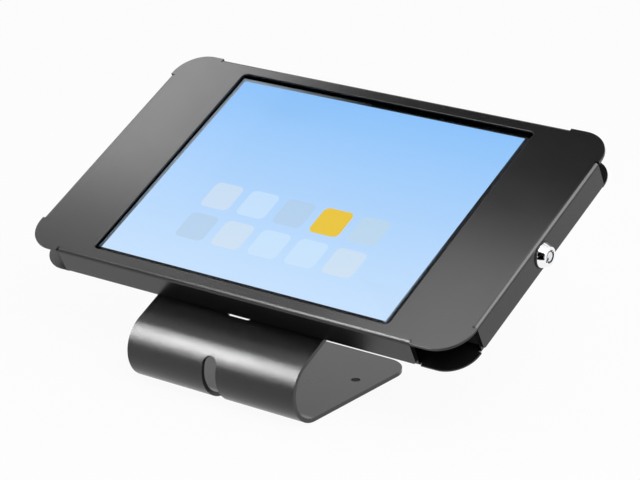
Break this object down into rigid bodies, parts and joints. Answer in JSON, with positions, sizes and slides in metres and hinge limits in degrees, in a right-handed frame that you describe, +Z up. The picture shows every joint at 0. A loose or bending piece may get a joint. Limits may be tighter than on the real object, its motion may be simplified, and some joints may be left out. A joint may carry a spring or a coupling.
{
  "type": "tablet security kiosk stand",
  "caption": "Desk kiosk stand that holds a tablet in landscape in a locked sheet steel enclosure, tilted on a folded steel foot with a round nose and cable slot.",
  "frame": {"origin": "centre of the underside of the anti-slip pad, where the stand rests on the desk", "axes": "+X to the user's right along the screen's long side, +Y away from the user, +Z up"},
  "size_m": [0.3204, 0.1866, 0.1454],
  "materials": {
    "powder_coated_steel": "fine satin powder coat",
    "black_rubber": "matt",
    "black_foam": "closed-cell foam",
    "black_zinc": "black zinc",
    "zinc_plate": "bright zinc",
    "tablet_aluminium": "bead-blasted anodised",
    "tablet_screen": "lit display",
    "tablet_cover_glass": "polished",
    "lock_chrome": "bright chrome",
    "lock_steel": "turned",
    "black_plastic": "moulded"
  },
  "bodies": {
    "stand": {"base_bracket": "powder_coated_steel", "base_pad": "black_rubber", "rear_tray": "powder_coated_steel", "cable_grommet": "black_rubber", "base_screws": "black_zinc", "base_washers": "black_zinc", "base_weld_nuts": "zinc_plate", "lock_catch": "zinc_plate", "catch_rivets": "zinc_plate", "support_pads": "black_foam", "left_side_pad": "black_foam", "right_side_pads": "black_foam", "tablet_shell": "tablet_aluminium", "tablet_display": "tablet_screen", "tablet_glass": "tablet_cover_glass"},
    "cover": {"front_cover": "powder_coated_steel", "cover_gasket": "black_foam", "lock_housing": "lock_chrome", "lock_ring": "black_plastic", "lock_nut": "zinc_plate"},
    "lock_core": {"lock_plug": "lock_steel", "lock_pins": "lock_steel", "lock_cam": "zinc_plate", "cam_washer": "zinc_plate", "cam_screw": "zinc_plate"}
  },
  "joints": [
    {"name": "cover_hinge", "type": "hinge", "parent": "stand", "child": "cover", "pos_m": [-0.156, 0.03935, 0.08993], "axis": [0, -0.8949, -0.4462], "range_deg": [0, 30]},
    {"name": "lock_turn", "type": "hinge", "parent": "cover", "child": "lock_core", "pos_m": [0.1575, 0.03583, 0.097], "axis": [1, 0, 0], "range_deg": [0, 90]}
  ]
}
